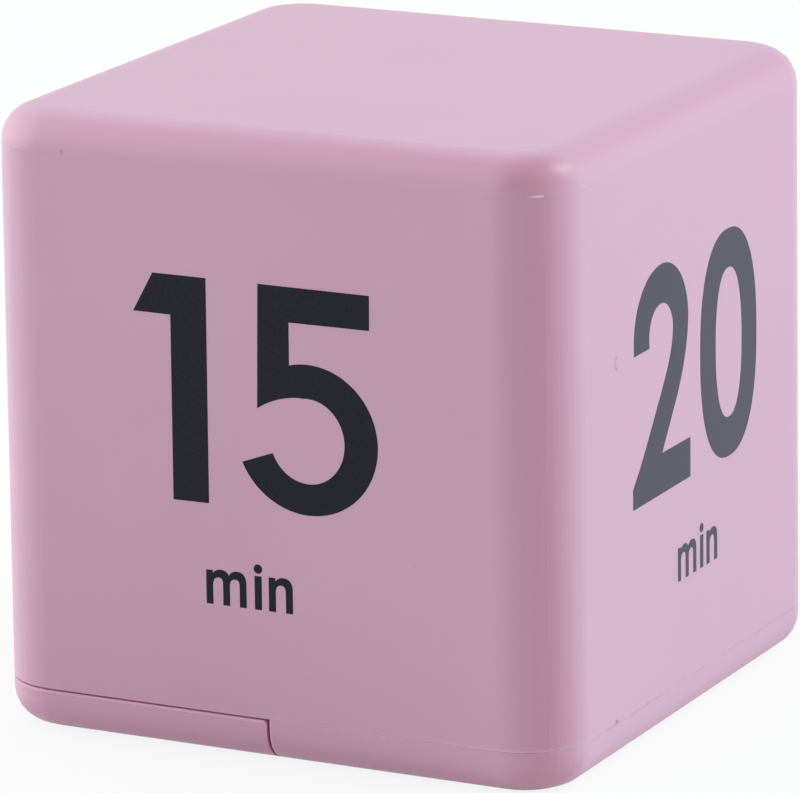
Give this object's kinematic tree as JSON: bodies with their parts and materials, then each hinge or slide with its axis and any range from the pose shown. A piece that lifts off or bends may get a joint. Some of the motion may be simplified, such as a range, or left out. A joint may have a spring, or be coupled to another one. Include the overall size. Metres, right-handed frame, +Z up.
{
  "type": "cube timer",
  "caption": "Rounded cube timer with minutes printed on its sides; turned to choose a time; display, switch and sliding battery door underneath.",
  "frame": {"origin": "centre of the underside, on the table plane", "axes": "+Z up, -Y the side that says 15 min, +X the side that says 20 min, -X the way the battery door slides off"},
  "size_m": [0.064, 0.064, 0.064],
  "materials": {
    "base_cover": "satin moulded ABS, dusty pink",
    "battery_cell_left": "printed sleeve",
    "battery_cell_right": "printed sleeve",
    "battery_door": "satin moulded ABS, dusty pink",
    "board_screw_back_left": "plain steel",
    "board_screw_back_right": "plain steel",
    "board_screw_front_left": "plain steel",
    "board_screw_front_right": "plain steel",
    "case_screw_back": "plain steel",
    "case_screw_front": "plain steel",
    "chip_blob": "black resin",
    "chip_resistor_1": "black glaze",
    "chip_resistor_2": "black glaze",
    "chip_resistor_3": "black glaze",
    "contact_bridge": "nickel plated",
    "contact_negative": "nickel plated",
    "contact_positive": "nickel plated",
    "crystal_can": "drawn metal can",
    "display_lens": "clear, polished",
    "indicator_led": "red, clear resin",
    "lcd_holder": "black moulding",
    "lcd_panel": "grey-green display glass",
    "lead_negative": "black insulation",
    "lead_piezo_ceramic": "red insulation",
    "lead_piezo_plate": "black insulation",
    "lead_positive": "red insulation",
    "main_board": "green solder resist",
    "main_shell": "satin moulded ABS, dusty pink",
    "piezo_ceramic": "silvered ceramic",
    "piezo_plate": "rolled brass",
    "smoothing_capacitor": "shrink sleeve",
    "spring_bridge": "nickel plated spring wire",
    "spring_negative": "nickel plated spring wire",
    "switch_case": "folded tin plate",
    "switch_knob": "white moulding",
    "switch_lever": "black moulding",
    "tilt_ball_back": "polished ball",
    "tilt_ball_front": "polished ball",
    "tilt_ball_left": "polished ball",
    "tilt_ball_right": "polished ball",
    "tilt_can_back": "plated can",
    "tilt_can_front": "plated can",
    "tilt_can_left": "plated can",
    "tilt_can_right": "plated can",
    "tilt_plug_back": "black moulding",
    "tilt_plug_front": "black moulding",
    "tilt_plug_left": "black moulding",
    "tilt_plug_right": "black moulding",
    "zebra_strip_left": "soft layered rubber",
    "zebra_strip_right": "soft layered rubber"
  },
  "bodies": {
    "case": {"base_cover": "base_cover", "battery_cell_left": "battery_cell_left", "battery_cell_right": "battery_cell_right", "board_screw_back_left": "board_screw_back_left", "board_screw_back_right": "board_screw_back_right", "board_screw_front_left": "board_screw_front_left", "board_screw_front_right": "board_screw_front_right", "case_screw_back": "case_screw_back", "case_screw_front": "case_screw_front", "chip_blob": "chip_blob", "chip_resistor_1": "chip_resistor_1", "chip_resistor_2": "chip_resistor_2", "chip_resistor_3": "chip_resistor_3", "contact_bridge": "contact_bridge", "contact_negative": "contact_negative", "contact_positive": "contact_positive", "crystal_can": "crystal_can", "display_lens": "display_lens", "indicator_led": "indicator_led", "lcd_holder": "lcd_holder", "lcd_panel": "lcd_panel", "lead_negative": "lead_negative", "lead_piezo_ceramic": "lead_piezo_ceramic", "lead_piezo_plate": "lead_piezo_plate", "lead_positive": "lead_positive", "main_board": "main_board", "main_shell": "main_shell", "piezo_ceramic": "piezo_ceramic", "piezo_plate": "piezo_plate", "smoothing_capacitor": "smoothing_capacitor", "spring_bridge": "spring_bridge", "spring_negative": "spring_negative", "switch_case": "switch_case", "tilt_can_back": "tilt_can_back", "tilt_can_front": "tilt_can_front", "tilt_can_left": "tilt_can_left", "tilt_can_right": "tilt_can_right", "tilt_plug_back": "tilt_plug_back", "tilt_plug_front": "tilt_plug_front", "tilt_plug_left": "tilt_plug_left", "tilt_plug_right": "tilt_plug_right", "zebra_strip_left": "zebra_strip_left", "zebra_strip_right": "zebra_strip_right"},
    "door": {"battery_door": "battery_door"},
    "switch": {"switch_lever": "switch_lever", "switch_knob": "switch_knob"},
    "ball_right": {"tilt_ball_right": "tilt_ball_right"},
    "ball_back": {"tilt_ball_back": "tilt_ball_back"},
    "ball_left": {"tilt_ball_left": "tilt_ball_left"},
    "ball_front": {"tilt_ball_front": "tilt_ball_front"}
  },
  "joints": [
    {"name": "door_slide", "type": "slide", "parent": "case", "child": "door", "axis": [-1, 0, 0], "range_m": [0, 0.036]},
    {"name": "switch_slide", "type": "slide", "parent": "case", "child": "switch", "axis": [0, 1, 0], "range_m": [0, 0.0025]},
    {"name": "ball_right_roll", "type": "slide", "parent": "case", "child": "ball_right", "axis": [-1, 0, 0], "range_m": [0, 0.0026]},
    {"name": "ball_back_roll", "type": "slide", "parent": "case", "child": "ball_back", "axis": [0, -1, 0], "range_m": [0, 0.0026]},
    {"name": "ball_left_roll", "type": "slide", "parent": "case", "child": "ball_left", "axis": [1, 0, 0], "range_m": [0, 0.0026]},
    {"name": "ball_front_roll", "type": "slide", "parent": "case", "child": "ball_front", "axis": [0, 1, 0], "range_m": [0, 0.0026]}
  ]
}
